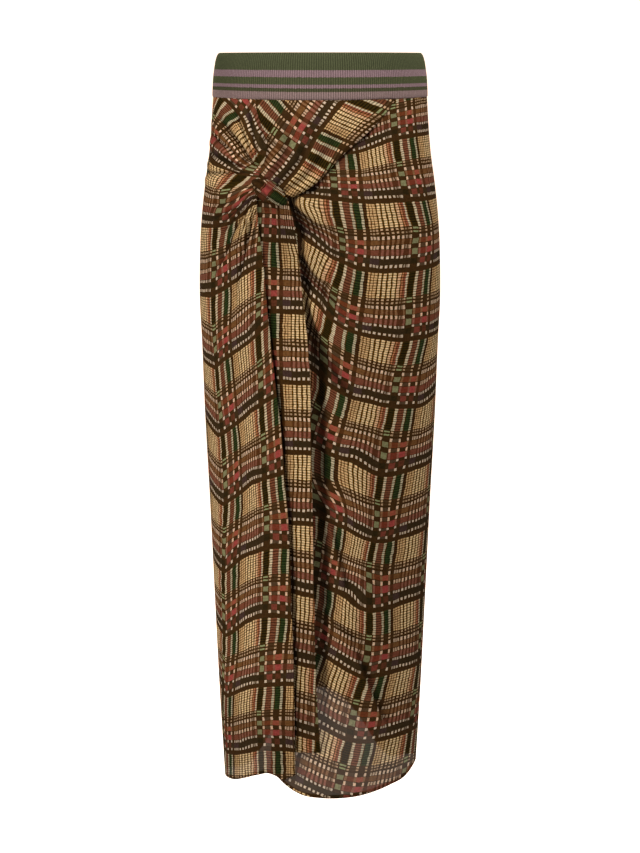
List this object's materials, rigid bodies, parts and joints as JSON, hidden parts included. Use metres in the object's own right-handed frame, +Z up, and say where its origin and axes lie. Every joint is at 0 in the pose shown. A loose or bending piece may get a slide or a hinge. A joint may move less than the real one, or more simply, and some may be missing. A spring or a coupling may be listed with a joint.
{
  "type": "midi wrap skirt",
  "caption": "Long straight wrap skirt hanging hollow, gathered to a knot at the hip with a hanging sash tail, a pleated swath above it, a split front hem and a ribbed knit waistband.",
  "frame": {"origin": "on the axis of the waist, at the middle height of the waistband", "axes": "+Z up along the skirt, the front faces -Y, +X is the wearer's left (the viewer's right)"},
  "size_m": [0.326, 0.251, 1.0041],
  "materials": {
    "rib_knit": "striped rib knit, olive and mauve",
    "check_crepe": "thin crinkled crepe in a many-coloured check",
    "check_crepe_front": "thin crinkled crepe in a many-coloured check"
  },
  "bodies": {
    "root": {"waistband": "rib_knit", "back_panel": "check_crepe", "front_right_panel": "check_crepe", "front_left_panel": "check_crepe_front", "wrap_swath": "check_crepe_front", "knot": "check_crepe_front", "sash_tail": "check_crepe"}
  },
  "joints": []
}
